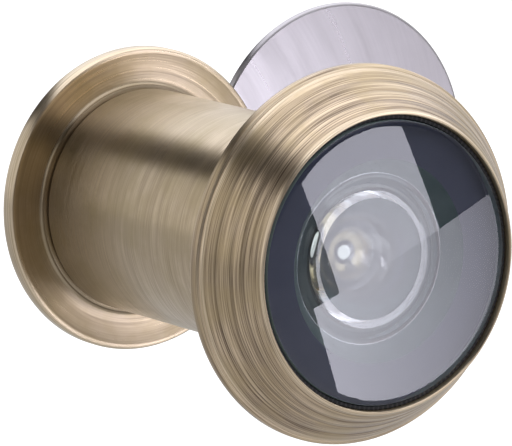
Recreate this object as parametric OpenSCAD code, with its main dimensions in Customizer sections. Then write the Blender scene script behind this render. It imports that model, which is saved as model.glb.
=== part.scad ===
// Wide-angle door viewer: an outside half with the lenses and an inside half that
// screws into it through the door and carries the swinging privacy cover.
// The axis lies along Y, with the outdoor side towards -Y and +Z up. The origin is
// on the axis, halfway along the part of the barrel that the door closes on.

/* [Door and barrel] */
// Gap between bezel and flange when the two halves are screwed fully home
grip_length = 42; // [36:1:60]
// Outside diameter of the barrel, which passes through the door
barrel_d = 26; // [22:1:34]
// Wall of the barrel
barrel_wall = 1.45; // [1.3:0.05:1.8]
// Gap left between the barrel's end and the flange
end_gap = 0.2; // [0.1:0.1:1]

/* [Bezel] */
// How far the bezel stands out beyond the barrel, all round
bezel_reach = 8.2; // [7.5:0.1:12]
// Depth of the bezel, from the door to the front of its lip
bezel_depth = 7.6; // [7.2:0.1:9]
// Width of the bezel ring between its rim and the window
bezel_wall = 4.8; // [4.2:0.1:5.4]
// Height of the straight rim that lies on the door
rim_height = 1.3; // [1:0.1:1.8]
// Number of turned bands between the rim and the lip
bezel_bands = 4; // [2:1:5]
// Depth of the step between one band and the next
band_step = 0.15; // [0.1:0.05:0.25]

/* [Lenses] */
// Thickness of the front lens at its edge
front_lens_edge = 2.6; // [2:0.1:2.7]
// Depth of the front lens's central neck behind its edge
neck_depth = 3.4; // [2.4:0.1:3.8]
// Radial thickness of the black ring that seals the front lens
gasket_wall = 0.6; // [0.3:0.1:0.9]
// Thickness of the black light baffle behind the front lens
baffle_height = 0.8; // [0.5:0.1:1.2]
// Wall of the sleeve that holds the inner lenses
cell_wall = 2; // [1.4:0.1:2.4]
// Thickness of each inner lens at its edge
inner_lens_edge = 2.8; // [2:0.1:3.4]
// Space between the two inner lenses
lens_gap = 3; // [2:0.5:4]

/* [Inside half] */
// How far the flange stands out beyond the barrel, all round
flange_reach = 4.75; // [4.6:0.05:8]
// Thickness of the flange
flange_height = 2; // [1.8:0.1:3]
// Depth of the hollow turned in the flange's front face
flange_dish = 0.5; // [0.2:0.1:0.7]
// Wall of the threaded tube under its thread
tube_wall = 1.4; // [1.2:0.1:1.8]
// Space left between the lens cell and the threaded tube when screwed home
tube_space = 2.9; // [1:0.1:8]
// Lead of the thread that joins the halves
thread_pitch = 1.5; // [1.2:0.1:1.8]
// Height of the thread's ridges
thread_height = 0.55; // [0.45:0.05:0.6]
// Length of the thread inside the barrel's mouth
nut_length = 12; // [6:1:16]

/* [Privacy cover] */
// Diameter of the cover
cover_d = 36; // [34:0.5:44]
// Thickness of the cover
cover_height = 1; // [0.8:0.1:1.6]
// Distance of the cover's pivot in from the flange's rim
pivot_inset = 2.75; // [2.5:0.05:3.5]
// Place of the pivot round the flange, from +X towards +Z, in degrees
pivot_angle = 4.3; // [0:0.1:90]
// Angle that the cover is drawn at, 0 closed and 180 wide open
cover_swing = 180; // [0:5:180]

/* [Hidden] */
$fn = 96;
thread_clearance = 0.2; // between crests and roots, measured along the radius
seat_gap = 0.05; // round pieces that drop into a bore
turn_gap = 0.05; // round pieces that turn in a bore
fine_chamfer = 0.3;
cap_steps = 14; // stretches in the curve of a lens face

// Places along the axis
door_front_y = -grip_length / 2;
door_back_y = grip_length / 2;
lip_y = door_front_y - bezel_depth;
lens_seat_y = lip_y + 3;
cup_floor_y = lens_seat_y + baffle_height;
barrel_end_y = door_back_y - end_gap;
flange_back_y = door_back_y + flange_height;
neck_end_y = lens_seat_y + neck_depth;

// Outside half radii
barrel_r = barrel_d / 2;
bore_r = barrel_r - barrel_wall;
spigot_step = 0.2;
spigot_r = barrel_r - spigot_step; // the barrel's front end, which stands in the bezel
bezel_r = barrel_r + bezel_reach;
window_r = bezel_r - bezel_wall;
front_lens_r = window_r - gasket_wall;
front_lens_bulge = 0.4;
front_face_y = lens_seat_y - front_lens_edge;
aperture_r = bore_r - 0.25;
neck_r = aperture_r - 1.8;
dish_r = 0.74 * neck_r;
dish_depth = neck_depth + 1;

// Lens cell and what it holds, from front to back
cell_r = bore_r - seat_gap;
inner_lens_r = cell_r - cell_wall;
cell_lip = 0.8;
cell_front_y = neck_end_y + 0.5;
second_lens_y = cell_front_y + cell_lip;
spacer_y = second_lens_y + inner_lens_edge;
third_lens_y = spacer_y + lens_gap;
cell_ring_y = third_lens_y + inner_lens_edge;
ring_height = 1.5;
cell_back_y = cell_ring_y + ring_height + 0.4;
optic_stop_r = inner_lens_r - 2.5;
second_lens_bulge = 0.3;
second_lens_hollow = inner_lens_edge - 0.8;
third_lens_hollow = (inner_lens_edge - 1) / 2;

// Thread: the barrel's ridges point inwards and the tube's point outwards
nut_crest_r = bore_r - thread_height;
tube_r = nut_crest_r - thread_clearance;
ridge_root = 0.53 * thread_pitch;
ridge_crest = 0.2 * thread_pitch;
ridge_sink = 0.12;
ridge_steps = 32;
runout_steps = 6;

// Inside half
flange_r = barrel_r + flange_reach;
land_r = barrel_r + 0.2;
tube_bore_r = tube_r - tube_wall;
tube_front_y = cell_back_y + tube_space;
slot_width = 2.2;
slot_depth = 0.9;
eyepiece_r = tube_bore_r - turn_gap;
eyepiece_wall = 1.3;
eyepiece_lip = 0.6;
eyepiece_lens_r = eyepiece_r - eyepiece_wall;
eyepiece_lens_edge = 1.6;
eyepiece_bulge = 0.9;
eyepiece_back_y = flange_back_y - slot_depth - 0.1;
eyepiece_lens_y = eyepiece_back_y - eyepiece_lip - eyepiece_lens_edge;
eyepiece_ring_y = eyepiece_lens_y - ring_height;
eyepiece_front_y = eyepiece_ring_y - 0.4;
eye_hole_r = eyepiece_lens_r - 1.1;

// Privacy cover and its pivot
pivot_r = flange_r - pivot_inset;
pivot_x = pivot_r * cos(pivot_angle);
pivot_z = pivot_r * sin(pivot_angle);
shank_r = 1.2;
shoulder_r = 1.6;
head_r = 2.4;
head_height = 0.7;
tail_r = 1.8;
washer_r = 2.5;
washer_height = 0.2;
spring_height = 0.3;
cover_front_y = flange_back_y + spring_height + washer_height + 0.1;
cover_back_y = cover_front_y + cover_height;
cover_r = cover_d / 2;

// Stands children, drawn along +Z, on the axis at the given place
module along_axis(y = 0) {
    translate([0, y, 0]) rotate([-90, 0, 0]) children();
}

// A solid of revolution from an outline of [radius, place along the axis]
module turned(outline) {
    along_axis() rotate_extrude() polygon(outline);
}

module disc(r, y0, y1) {
    along_axis(y0) cylinder(r = r, h = y1 - y0);
}

module ring(r_out, r_in, y0, y1) {
    turned([[r_in, y0], [r_out, y0], [r_out, y1], [r_in, y1]]);
}

// Points from the axis out to radius r on a ball's cap that meets edge_y there and
// bulges by depth, towards +Y when side is 1 and towards -Y when it is -1
function cap_points(r, depth, edge_y, side) =
    let (ball_r = (r * r + depth * depth) / (2 * depth))
    [
        for (i = [0:cap_steps])
            let (p = r * i / cap_steps)
            [p, edge_y + side * (sqrt(ball_r * ball_r - p * p) - ball_r + depth)]
    ];

function reversed(points) = [for (i = [len(points) - 1:-1:0]) points[i]];

// One point of a thread ridge's section, at the given turn angle
function ridge_point(r, y, angle) = [r * sin(angle), y, r * cos(angle)];

// A helical ridge about the axis, turned round it by phase degrees. It stands on base_r
// and reaches height above it, outwards when the height is positive and inwards when it
// is negative.
module thread_ridge(base_r, height, y0, y1, phase = 0) {
    steps = floor((y1 - y0 - ridge_root) / thread_pitch * ridge_steps);
    start_y = y0 + ridge_root / 2;
    side = sign(height);
    points = [
        for (i = [0:steps])
            let (
                angle = (i / ridge_steps + start_y / thread_pitch) * 360 + phase,
                y = start_y + i / ridge_steps * thread_pitch,
                rise = max(0.1, min(1, i / runout_steps, (steps - i) / runout_steps)),
                foot_r = base_r - side * ridge_sink,
                crest_r = base_r + height * rise,
                crest_w = ridge_root + (ridge_crest - ridge_root) * rise
            )
            each [
                ridge_point(foot_r, y - ridge_root / 2, angle),
                ridge_point(crest_r, y - crest_w / 2, angle),
                ridge_point(crest_r, y + crest_w / 2, angle),
                ridge_point(foot_r, y + ridge_root / 2, angle)
            ]
    ];
    walls = [
        for (i = [0:steps - 1], k = [0:3])
            let (a = 4 * i + k, b = 4 * i + (k + 1) % 4)
            each [[a, b, a + 4], [b, b + 4, a + 4]]
    ];
    last = 4 * steps;
    ends = [[0, 2, 1], [0, 3, 2], [last, last + 1, last + 2], [last, last + 2, last + 3]];
    faces = concat(walls, ends);
    polyhedron(points, side > 0 ? faces : [for (f = faces) [f[2], f[1], f[0]]]);
}

// Turned brass head: a straight rim, a cone of slightly rounded bands that step in
// one from the next, and a rounded lip round the window
module bezel() {
    cone_r = bezel_r - 0.45;
    cone_y = door_front_y - rim_height - 0.2;
    lip_r = window_r + 0.5;
    band_dr = (cone_r - lip_r) / bezel_bands;
    band_dy = (cone_y - lip_y - 0.6) / bezel_bands;
    band_bulge = 0.08;
    bands = [
        for (i = [0:bezel_bands - 1], t = [0, 0.3, 0.7, 1])
            let (
                bulge = t > 0 && t < 1 ? band_bulge : 0,
                step = t == 1 && i < bezel_bands - 1 ? band_step : 0,
                ahead = (i + t) * band_dy
            )
            [cone_r - (i + t) * band_dr + bulge, cone_y - ahead - bulge + step]
    ];
    color("darkkhaki") turned(concat(
        [
            [spigot_r, door_front_y - spigot_step],
            [barrel_r, door_front_y],
            [bezel_r - fine_chamfer, door_front_y],
            [bezel_r, door_front_y - fine_chamfer],
            [bezel_r, door_front_y - rim_height + fine_chamfer],
            [bezel_r - 0.2, door_front_y - rim_height]
        ],
        bands,
        [
            [lip_r - 0.1, lip_y + 0.15],
            [lip_r - 0.2, lip_y],
            [window_r + 0.15, lip_y],
            [window_r, lip_y + 0.15],
            [window_r, cup_floor_y],
            [spigot_r, cup_floor_y]
        ]
    ));
}

// Plain brass tube through the door. It steps down to enter the bezel, and has the nut
// thread in its inside mouth.
module barrel() {
    color("tan") {
        turned([
            [bore_r, cup_floor_y],
            [spigot_r, cup_floor_y],
            [spigot_r, door_front_y],
            [barrel_r, door_front_y],
            [barrel_r, barrel_end_y - fine_chamfer],
            [barrel_r - fine_chamfer, barrel_end_y],
            [bore_r, barrel_end_y]
        ]);
        thread_ridge(bore_r, -thread_height, barrel_end_y - nut_length, barrel_end_y - fine_chamfer);
    }
}

// Black ring that seals the front lens in the bezel
module lens_gasket() {
    color("black") ring(window_r, front_lens_r, front_face_y + 0.3, cup_floor_y);
}

// Pressed glass: faintly domed front, flat black-backed margin and a tapered neck
// whose flat end has a deep round hollow
module front_lens() {
    color("lightcyan", 0.4) turned(concat(
        cap_points(front_lens_r, front_lens_bulge, front_face_y, -1),
        [
            [front_lens_r, lens_seat_y],
            [aperture_r, lens_seat_y],
            [neck_r, neck_end_y]
        ],
        reversed(cap_points(dish_r, dish_depth, neck_end_y, -1))
    ));
}

// Matt black plate behind the lens margin
module light_baffle() {
    color("dimgray") ring(front_lens_r, aperture_r + 0.1, lens_seat_y, cup_floor_y);
}

// Sleeve that holds the inner lenses in line
module lens_cell() {
    color("gray") turned([
        [optic_stop_r + 0.3, cell_front_y],
        [cell_r, cell_front_y],
        [cell_r, cell_back_y],
        [inner_lens_r, cell_back_y],
        [inner_lens_r, second_lens_y],
        [optic_stop_r + 0.3, second_lens_y]
    ]);
}

// Hollow-backed lens with a domed front
module second_lens() {
    lens_r = inner_lens_r - seat_gap;
    color("lightcyan", 0.4) turned(concat(
        cap_points(optic_stop_r, second_lens_bulge, second_lens_y, -1),
        [
            [lens_r, second_lens_y],
            [lens_r, spacer_y]
        ],
        reversed(cap_points(optic_stop_r, second_lens_hollow, spacer_y, -1))
    ));
}

module lens_spacer() {
    color("dimgray") ring(inner_lens_r - seat_gap, optic_stop_r, spacer_y, third_lens_y);
}

// Lens hollowed on both sides
module third_lens() {
    lens_r = inner_lens_r - seat_gap;
    color("lightcyan", 0.4) turned(concat(
        cap_points(optic_stop_r, third_lens_hollow, third_lens_y, 1),
        [
            [lens_r, third_lens_y],
            [lens_r, cell_ring_y]
        ],
        reversed(cap_points(optic_stop_r, third_lens_hollow, cell_ring_y, -1))
    ));
}

// Two slots across a ring's back face, for the key that turns it
module key_slots(r, y, width, depth) {
    translate([-r - 1, y - depth, -width / 2]) cube([2 * r + 2, depth + 1, width]);
}

module cell_retaining_ring() {
    color("dimgray") difference() {
        ring(inner_lens_r - seat_gap, optic_stop_r, cell_ring_y, cell_ring_y + ring_height);
        key_slots(inner_lens_r, cell_ring_y + ring_height, 1.6, 0.7);
    }
}

// Ring in the tube's back end that carries the eyepiece lens
module eyepiece_cell() {
    color("dimgray") turned([
        [eyepiece_lens_r, eyepiece_front_y],
        [eyepiece_r, eyepiece_front_y],
        [eyepiece_r, eyepiece_back_y - 0.2],
        [eyepiece_r - 0.2, eyepiece_back_y],
        [eye_hole_r + 0.4, eyepiece_back_y],
        [eye_hole_r, eyepiece_back_y - eyepiece_lip],
        [eyepiece_lens_r, eyepiece_back_y - eyepiece_lip]
    ]);
}

// Domed towards the room, flat towards the door
module eyepiece_lens() {
    back_y = eyepiece_lens_y + eyepiece_lens_edge;
    lens_r = eyepiece_lens_r - seat_gap;
    color("lightcyan", 0.4) turned(concat(
        [
            [0, eyepiece_lens_y],
            [lens_r, eyepiece_lens_y],
            [lens_r, back_y]
        ],
        reversed(cap_points(eye_hole_r - 0.1, eyepiece_bulge, back_y, 1))
    ));
}

module eyepiece_retaining_ring() {
    color("dimgray")
        ring(eyepiece_lens_r - seat_gap, eye_hole_r, eyepiece_ring_y, eyepiece_lens_y);
}

// Male-threaded tube, with two coin slots across its back end. Its ridges run half a
// turn away from the barrel's, so that they lie between them.
module threaded_tube() {
    color("tan") difference() {
        union() {
            ring(tube_r, tube_bore_r, tube_front_y, flange_back_y);
            thread_ridge(
                tube_r, thread_height, tube_front_y + fine_chamfer, door_back_y - 0.6, phase = 180
            );
        }
        key_slots(tube_r, flange_back_y, slot_width, slot_depth);
    }
}

// Round plate on the room side of the door, hollowed in front, with a land in the
// middle that faces the barrel's end
module flange() {
    dish_y = door_back_y + flange_dish;
    color("darkkhaki") difference() {
        turned([
            [tube_r, door_back_y],
            [land_r, door_back_y],
            [land_r + 0.2, dish_y],
            [land_r + 1.2, dish_y],
            [flange_r - 1.2, door_back_y + 0.15],
            [flange_r - 0.3, door_back_y],
            [flange_r, door_back_y + 0.3],
            [flange_r, flange_back_y - 0.4],
            [flange_r - 0.4, flange_back_y],
            [tube_r, flange_back_y]
        ]);
        translate([pivot_x, 0, pivot_z]) {
            disc(shank_r, door_back_y - 1, flange_back_y + 1);
            turned([
                [0, door_back_y - 1],
                [tail_r, door_back_y - 1],
                [tail_r, dish_y + 0.1],
                [shank_r, dish_y + 0.6],
                [0, dish_y + 0.6]
            ]);
        }
    }
}

// Shouldered rivet: spread tail in the flange's front, shoulder for the cover to
// turn on, and a low head behind it
module pivot_rivet() {
    tail_y = door_back_y + flange_dish;
    head_y = cover_back_y + 0.05;
    color("silver") translate([pivot_x, 0, pivot_z]) turned([
        [0, tail_y],
        [tail_r, tail_y],
        [tail_r, tail_y + 0.1],
        [shank_r, tail_y + 0.6],
        [shank_r, flange_back_y],
        [shoulder_r, flange_back_y],
        [shoulder_r, head_y],
        [head_r, head_y],
        [head_r, head_y + 0.3],
        [head_r - 0.6, head_y + head_height],
        [0, head_y + head_height]
    ]);
}

// Coned spring washer that keeps the cover from swinging by itself
module spring_washer() {
    color("gray") translate([pivot_x, 0, pivot_z]) turned([
        [shoulder_r + turn_gap, flange_back_y + spring_height - 0.2],
        [washer_r, flange_back_y],
        [washer_r, flange_back_y + 0.2],
        [shoulder_r + turn_gap, flange_back_y + spring_height]
    ]);
}

// Thin plastic washer under the cover
module pivot_washer() {
    y = flange_back_y + spring_height + 0.05;
    color("white") translate([pivot_x, 0, pivot_z])
        ring(washer_r, shoulder_r + turn_gap, y, y + washer_height);
}

// Flat disc that hides the eyepiece when it is swung in front of it
module privacy_cover() {
    edge = 0.2;
    color("thistle")
        translate([pivot_x, 0, pivot_z]) rotate([0, cover_swing, 0])
            translate([-pivot_x, 0, -pivot_z]) difference() {
                turned([
                    [0, cover_front_y],
                    [cover_r - edge, cover_front_y],
                    [cover_r, cover_front_y + edge],
                    [cover_r, cover_back_y - edge],
                    [cover_r - edge, cover_back_y],
                    [0, cover_back_y]
                ]);
                translate([pivot_x, 0, pivot_z])
                    disc(shoulder_r + turn_gap, cover_front_y - 1, cover_back_y + 1);
            }
}

bezel();
barrel();
lens_gasket();
front_lens();
light_baffle();
lens_cell();
second_lens();
lens_spacer();
third_lens();
cell_retaining_ring();
eyepiece_cell();
eyepiece_lens();
eyepiece_retaining_ring();
threaded_tube();
flange();
pivot_rivet();
spring_washer();
pivot_washer();
privacy_cover();
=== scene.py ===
# A wide-angle door viewer in brushed antique brass, with real lenses and a swinging
# privacy cover. Sizes are in millimetres and become metres where a piece is made.
import math

import bpy
from mathutils import Matrix, Vector


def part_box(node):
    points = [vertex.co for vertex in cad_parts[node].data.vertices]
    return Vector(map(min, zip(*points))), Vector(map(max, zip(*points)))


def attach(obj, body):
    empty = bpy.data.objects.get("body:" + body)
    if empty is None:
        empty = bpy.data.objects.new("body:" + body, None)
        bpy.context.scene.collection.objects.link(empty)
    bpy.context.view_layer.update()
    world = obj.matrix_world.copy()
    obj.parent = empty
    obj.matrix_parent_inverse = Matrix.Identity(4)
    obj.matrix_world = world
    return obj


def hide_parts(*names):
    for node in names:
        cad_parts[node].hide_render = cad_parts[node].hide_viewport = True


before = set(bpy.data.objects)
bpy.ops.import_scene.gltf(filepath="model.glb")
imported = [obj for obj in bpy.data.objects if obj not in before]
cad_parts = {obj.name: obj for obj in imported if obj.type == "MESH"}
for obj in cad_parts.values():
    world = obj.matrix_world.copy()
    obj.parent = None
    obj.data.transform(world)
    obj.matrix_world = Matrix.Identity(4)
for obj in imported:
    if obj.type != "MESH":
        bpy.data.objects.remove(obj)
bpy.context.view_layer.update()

MM = 0.001
AROUND = 192  # sides of a turned piece


# ---------------------------------------------------------------- places from the frame
def span(node):
    """The node's centre, half width and ends along the axis, in millimetres."""
    lo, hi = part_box(node)
    centre = (lo + hi) / 2 / MM
    return centre, (hi.x - lo.x) / 2 / MM, lo.y / MM, hi.y / MM


_, BEZEL_R, LIP_Y, DOOR_FRONT_Y = span("bezel")
_, BARREL_R, CUP_FLOOR_Y, BARREL_END_Y = span("barrel")
_, FLANGE_R, DOOR_BACK_Y, FLANGE_BACK_Y = span("flange")
_, WINDOW_R, GASKET_Y, _ = span("lens_gasket")
_, GLASS_R, _, NECK_END_Y = span("front_lens")
_, _, SEAT_Y, _ = span("light_baffle")
_, CELL_R, CELL_FRONT_Y, CELL_BACK_Y = span("lens_cell")
_, INNER_LENS_R, _, SPACER_Y = span("second_lens")
_, _, _, THIRD_LENS_Y = span("lens_spacer")
_, _, _, THIRD_LENS_END_Y = span("third_lens")
_, _, _, CELL_RING_BACK_Y = span("cell_retaining_ring")
_, THREAD_R, TUBE_FRONT_Y, _ = span("threaded_tube")
_, EYEPIECE_R, EYEPIECE_FRONT_Y, EYEPIECE_BACK_Y = span("eyepiece_cell")
_, EYE_LENS_R, EYE_LENS_Y, EYE_LENS_TOP_Y = span("eyepiece_lens")
_, _, EYE_RING_Y, _ = span("eyepiece_retaining_ring")
COVER_CENTRE, COVER_R, COVER_FRONT_Y, COVER_BACK_Y = span("privacy_cover")
RIVET_CENTRE, RIVET_HEAD_R, RIVET_TAIL_Y, RIVET_TOP_Y = span("pivot_rivet")
_, WASHER_R, SPRING_Y, SPRING_TOP_Y = span("spring_washer")
_, _, WASHER_Y, WASHER_TOP_Y = span("pivot_washer")

SLIP = 0.05  # clearance of a piece that is slipped into another
HAIR = 0.02  # parting that keeps touching faces from lying in one place
BARREL_WALL = 1.45
SPIGOT_STEP = 0.2
BAFFLE_LEDGE = 0.25
NECK_TAPER = 1.8
BORE_R = BARREL_R - BARREL_WALL
SPIGOT_R = BARREL_R - SPIGOT_STEP
APERTURE_R = BORE_R - BAFFLE_LEDGE
NECK_R = APERTURE_R - NECK_TAPER
DISH_R = 0.74 * NECK_R  # hollow in the back of the front lens
DISH_DEPTH = NECK_END_Y - SEAT_Y + 1
CELL_LIP = 2.5
CELL_LIP_THICK = 0.8
STOP_R = INNER_LENS_R + SLIP - CELL_LIP  # clear way through the lens cell
THREAD_PITCH = 1.5
THREAD_HEIGHT = 0.55
THREAD_ROOT = 0.53 * THREAD_PITCH
THREAD_CREST = 0.2 * THREAD_PITCH
TUBE_WALL = 1.4
TUBE_R = THREAD_R - THREAD_HEIGHT
TUBE_BORE_R = TUBE_R - TUBE_WALL
EYE_LIP = 1.1
EYE_HOLE_R = EYE_LENS_R + SLIP - EYE_LIP
EYE_LENS_EDGE = 1.6
SHOULDER_R = 1.6
RIVET_HOLE_R = 1.8
WASHER_HOLE_R = SHOULDER_R + SLIP


# ---------------------------------------------------------------- modelling by hand
def alone(piece):
    """Makes the piece the only one selected, and the active one."""
    bpy.ops.object.select_all(action="DESELECT")
    piece.select_set(True)
    bpy.context.view_layer.objects.active = piece


def edit(piece):
    alone(piece)
    bpy.ops.object.mode_set(mode="EDIT")
    bpy.ops.mesh.select_mode(type="VERT")


def done():
    bpy.ops.object.mode_set(mode="OBJECT")


def pick(piece, wanted):
    """Selects the vertices that wanted(place in millimetres) accepts, and nothing else."""
    for group in (piece.data.polygons, piece.data.edges):
        for item in group:
            item.select = False
    for v in piece.data.vertices:
        v.select = bool(wanted(v.co / MM))


def settle(piece):
    """Puts the object's place and turn into its mesh."""
    alone(piece)
    bpy.ops.object.transform_apply(location=True, rotation=True, scale=True)


def tidy_mesh(piece):
    """Joins points that lie together and turns every face outwards."""
    edit(piece)
    bpy.ops.mesh.select_all(action="SELECT")
    bpy.ops.mesh.remove_doubles(threshold=1e-7)
    bpy.ops.mesh.normals_make_consistent(inside=False)
    done()


def close_on_axis(step_y):
    """Draws the selected ring to a point on the axis."""
    bpy.ops.mesh.extrude_region_move(TRANSFORM_OT_translate={"value": (0, step_y * MM, 0)})
    bpy.ops.mesh.merge(type="CENTER")


def lathe(name, outline, around=AROUND):
    """Turns an outline of (radius, y) about the axis, drawing out one ring after another.
    A radius of 0 at either end closes the piece there, and a last point equal to the
    first closes a ring."""
    opens_on_axis = outline[0][0] == 0
    start = outline[1:] if opens_on_axis else outline
    bpy.ops.object.select_all(action="DESELECT")
    bpy.ops.mesh.primitive_circle_add(
        vertices=around,
        radius=start[0][0] * MM,
        location=(0, start[0][1] * MM, 0),
        rotation=(math.pi / 2, 0, 0),
    )
    piece = bpy.context.active_object
    piece.name = piece.data.name = name
    settle(piece)
    edit(piece)
    bpy.ops.mesh.select_all(action="SELECT")
    for (r0, y0), (r1, y1) in zip(start, start[1:]):
        if r1 == 0:
            close_on_axis(y1 - y0)
            continue
        bpy.ops.mesh.extrude_region_move(
            TRANSFORM_OT_translate={"value": (0, (y1 - y0) * MM, 0)}
        )
        bpy.ops.transform.resize(value=(r1 / r0, 1, r1 / r0), center_override=(0, 0, 0))
    done()
    if opens_on_axis:
        for v in piece.data.vertices:
            v.select = v.index < around
        edit(piece)
        bpy.ops.mesh.select_mode(type="EDGE")
        bpy.ops.mesh.select_mode(type="VERT")
        close_on_axis(outline[0][1] - start[0][1])
        done()
    tidy_mesh(piece)
    return piece


def apply_modifier(piece, modifier):
    alone(piece)
    bpy.ops.object.modifier_apply(modifier=modifier.name)


def smooth(piece, angle=35):
    alone(piece)
    bpy.ops.object.shade_smooth_by_angle(angle=math.radians(angle))


def combine(piece, other, operation, solver="MANIFOLD"):
    """Takes the other's space out of the piece, or adds it, and removes the other."""
    knife = piece.modifiers.new("combine", "BOOLEAN")
    knife.operation = operation
    knife.solver = solver
    knife.object = other
    apply_modifier(piece, knife)
    bpy.data.objects.remove(other)


def block(centre, size):
    bpy.ops.object.select_all(action="DESELECT")
    bpy.ops.mesh.primitive_cube_add(size=1, location=Vector(centre) * MM)
    piece = bpy.context.active_object
    piece.scale = Vector(size) * MM
    settle(piece)
    return piece


def peg(radius, x, z, y0, y1, sides=64):
    """A round bar along Y, used to drill a hole."""
    bpy.ops.object.select_all(action="DESELECT")
    bpy.ops.mesh.primitive_cylinder_add(
        vertices=sides,
        radius=radius * MM,
        depth=(y1 - y0) * MM,
        location=(x * MM, (y0 + y1) / 2 * MM, z * MM),
        rotation=(math.pi / 2, 0, 0),
    )
    piece = bpy.context.active_object
    settle(piece)
    return piece


def move(piece, x, z):
    """Shifts the mesh across the axis."""
    edit(piece)
    bpy.ops.mesh.select_all(action="SELECT")
    bpy.ops.transform.translate(value=(x * MM, 0, z * MM))
    done()


def thread(name, base_r, height, first_y, turns, steps=72):
    """A right-hand ridge that winds round the axis from first_y at +Z. It stands on
    base_r, outwards for a positive height and inwards for a negative one."""
    sink = -0.15 if height > 0 else 0.15
    foot_r = base_r + sink
    crest_r = base_r + height
    bpy.ops.object.select_all(action="DESELECT")
    bpy.ops.mesh.primitive_plane_add(
        size=1,
        location=(0, first_y * MM, (foot_r + crest_r) / 2 * MM),
        rotation=(0, math.pi / 2, 0),
    )
    piece = bpy.context.active_object
    piece.name = piece.data.name = name
    piece.scale = (abs(crest_r - foot_r) * MM, THREAD_ROOT * MM, 1)
    settle(piece)
    pick(piece, lambda p: abs(p.z - crest_r) < 0.05)
    edit(piece)
    narrowing = THREAD_CREST / THREAD_ROOT
    bpy.ops.transform.resize(value=(1, narrowing, 1), center_override=(0, first_y * MM, 0))
    bpy.ops.mesh.select_all(action="SELECT")
    bpy.ops.mesh.delete(type="ONLY_FACE")
    done()
    screw = piece.modifiers.new("wind", "SCREW")
    screw.axis = "Y"
    screw.angle = math.tau
    screw.screw_offset = THREAD_PITCH * MM
    screw.iterations = turns
    screw.steps = screw.render_steps = steps
    screw.use_merge_vertices = False
    apply_modifier(piece, screw)
    edit(piece)
    bpy.ops.mesh.select_all(action="DESELECT")
    bpy.ops.mesh.select_non_manifold()
    bpy.ops.mesh.fill()
    done()
    tidy_mesh(piece)
    return piece


def taper_ends(piece, base_r, height, first_y, turns, steps=72, length=7):
    """Runs both ends of a thread's ridge down into the wall."""
    middle_r = base_r + height / 2
    for end_y, way in ((first_y, 1), (first_y + turns * THREAD_PITCH, -1)):
        for i in range(length):
            angle = way * i / steps * math.tau
            ring_y = end_y + way * i / steps * THREAD_PITCH

            def on_crest(p):
                off = math.atan2(p.x, p.z) - angle
                turned_off = abs(math.remainder(off, math.tau))
                r = math.hypot(p.x, p.z)
                beyond = r > middle_r if height > 0 else r < middle_r
                return turned_off < 0.01 and beyond and abs(p.y - ring_y) < THREAD_PITCH / 2

            pick(piece, on_crest)
            rise = 0.15 + 0.85 * i / length
            factor = (base_r + height * rise) / (base_r + height)
            edit(piece)
            bpy.ops.transform.resize(value=(factor, 1, factor), center_override=(0, 0, 0))
            done()


def paint(piece, name, rule):
    """Stores rule(place in millimetres) on every point, for the finish to read."""
    layer = piece.data.attributes.new(name, "FLOAT", "POINT")
    layer.data.foreach_set("value", [rule(v.co / MM) for v in piece.data.vertices])


def dress(piece, body, slot, materials, *nodes):
    """Gives a finished piece its body and its finish, and hides the frame's node that it stands
    for. The slot is not used.
    """
    piece.data.materials.clear()
    for material in materials if isinstance(materials, tuple) else (materials,):
        piece.data.materials.append(material)
    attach(piece, body)
    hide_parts(*nodes)


def cap(r, depth, edge_y, side, steps=30):
    """Points of a ball's cap from radius r in to the axis, bulging by depth along side * Y."""
    ball = (r * r + depth * depth) / (2 * depth)
    points = []
    for i in range(steps, -1, -1):
        p = r * i / steps
        points.append((p, edge_y + side * (math.sqrt(ball * ball - p * p) - ball + depth)))
    return points


def outward(points):
    """The same points, from the axis out."""
    return list(reversed(points))


def ring_outline(r_out, r_in, y0, y1, e):
    """Outline of a plain ring, with its four edges eased by e."""
    return [
        (r_in, y0 + e),
        (r_in + e, y0),
        (r_out - e, y0),
        (r_out, y0 + e),
        (r_out, y1 - e),
        (r_out - e, y1),
        (r_in + e, y1),
        (r_in, y1 - e),
        (r_in, y0 + e),
    ]


# ---------------------------------------------------------------- material building blocks
def new_group(name, ins, outs):
    """A shader node group with named inputs, each with a kind and a default, and outputs."""
    group = bpy.data.node_groups.new(name, "ShaderNodeTree")
    for label, kind, default in ins:
        group.interface.new_socket(label, in_out="INPUT", socket_type=kind).default_value = default
    for label, kind in outs:
        group.interface.new_socket(label, in_out="OUTPUT", socket_type=kind)
    return group, Builder(group)


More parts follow.
